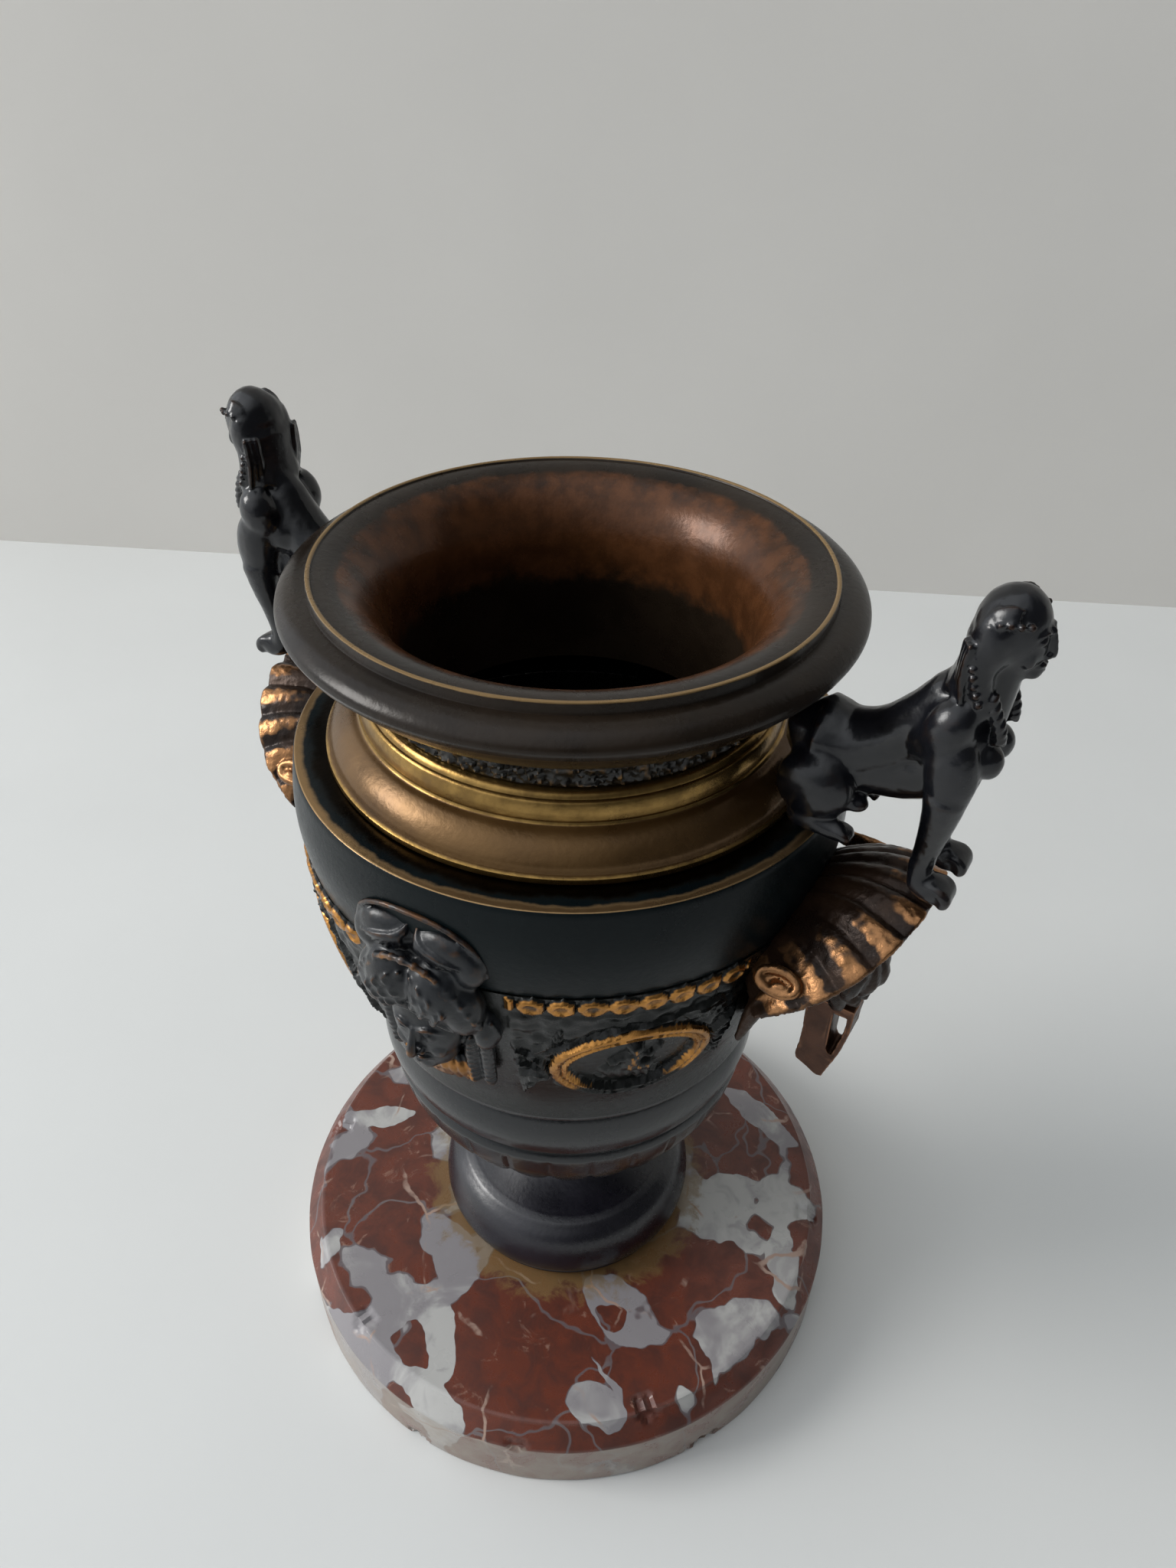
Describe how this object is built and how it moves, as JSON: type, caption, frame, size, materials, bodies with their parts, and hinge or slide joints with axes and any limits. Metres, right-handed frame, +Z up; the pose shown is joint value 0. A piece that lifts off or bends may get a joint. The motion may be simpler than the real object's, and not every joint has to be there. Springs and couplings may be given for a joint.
{
  "type": "medici vase",
  "caption": "Small bronze Medici vase with sphinx handles, masks and gilt medallions on a round red marble base.",
  "frame": {"origin": "centre of the marble base's underside", "axes": "+Z up the vase, handles along X, masks towards -Y and +Y, medallions on the diagonals"},
  "size_m": [0.1506, 0.13, 0.2046],
  "materials": {
    "red_marble": "polished brick-red marble with pale veins and grey patches",
    "dark_bronze": "dark blue-black patinated bronze with worn brown edges",
    "cast_bronze": "dark cast bronze with gilt high spots",
    "green_black_bronze": "smooth green-black patina, satin",
    "gold_bronze": "worn gold-brown bronze, satin",
    "brown_bronze": "grey-brown patinated bronze, satin",
    "black_bronze": "near-black glossy patina, brown where worn",
    "copper_gilt": "copper-brown bronze with worn gilding"
  },
  "bodies": {
    "root": {"marble_base": "red_marble", "foot": "dark_bronze", "bowl": "dark_bronze", "frieze": "cast_bronze", "drum": "green_black_bronze", "shoulder": "gold_bronze", "neck": "cast_bronze", "rim": "brown_bronze", "mask_front": "black_bronze", "mask_back": "black_bronze", "shell_right": "copper_gilt", "shell_left": "copper_gilt", "loop_right": "copper_gilt", "loop_left": "copper_gilt", "sphinx_right": "black_bronze", "sphinx_left": "black_bronze"}
  },
  "joints": []
}
